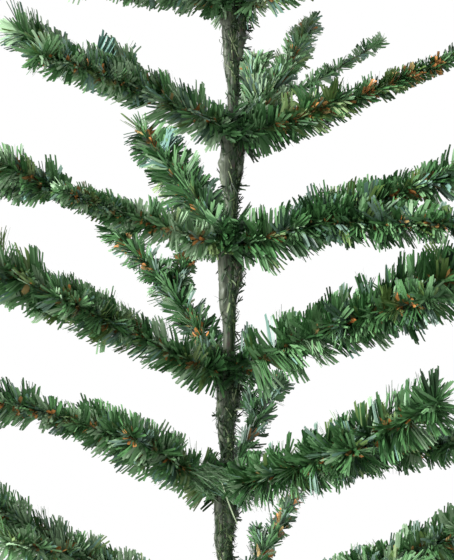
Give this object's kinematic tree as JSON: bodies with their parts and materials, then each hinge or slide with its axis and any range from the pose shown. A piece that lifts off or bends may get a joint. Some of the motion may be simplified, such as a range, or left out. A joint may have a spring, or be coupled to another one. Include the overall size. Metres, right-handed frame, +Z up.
{
  "type": "artificial christmas tree",
  "caption": "Artificial Christmas tree: a thin pole in a cement-filled bucket, with levels of wire boughs that carry green film needles.",
  "frame": {"origin": "centre of the bucket's flat underside, on the pole's axis", "axes": "+Z up along the pole, longest extent; +X to the right and +Y away as the tree is seen in the picture"},
  "size_m": [0.8111, 0.7955, 1.8],
  "materials": {
    "needles": "satin film",
    "bound_pole": "steel tube wound in grey-green film",
    "zinc": "galvanised sheet",
    "cement": "rough cement"
  },
  "bodies": {
    "root": {"bucket": "zinc", "bucket_fill": "cement", "trunk_pole": "bound_pole", "leader": "needles", "bough_1_left": "needles", "bough_1_right": "needles", "bough_1_back": "needles", "bough_2_left": "needles", "bough_2_right": "needles", "bough_2_back": "needles", "bough_3_left": "needles", "bough_3_right": "needles", "bough_3_back": "needles", "bough_4_left": "needles", "bough_4_right": "needles", "bough_4_back": "needles", "bough_5_left": "needles", "bough_5_right": "needles", "bough_5_back": "needles", "bough_6_left": "needles", "bough_6_right": "needles", "bough_6_back": "needles", "bough_7_back_right": "needles", "bough_7_back_left": "needles", "bough_7_front": "needles", "bough_8_back": "needles", "bough_8_left": "needles", "bough_8_right": "needles", "bough_9_back_right": "needles", "bough_9_back_left": "needles", "bough_9_front": "needles", "bough_10_back": "needles", "bough_10_left": "needles", "bough_10_right": "needles"}
  },
  "joints": []
}
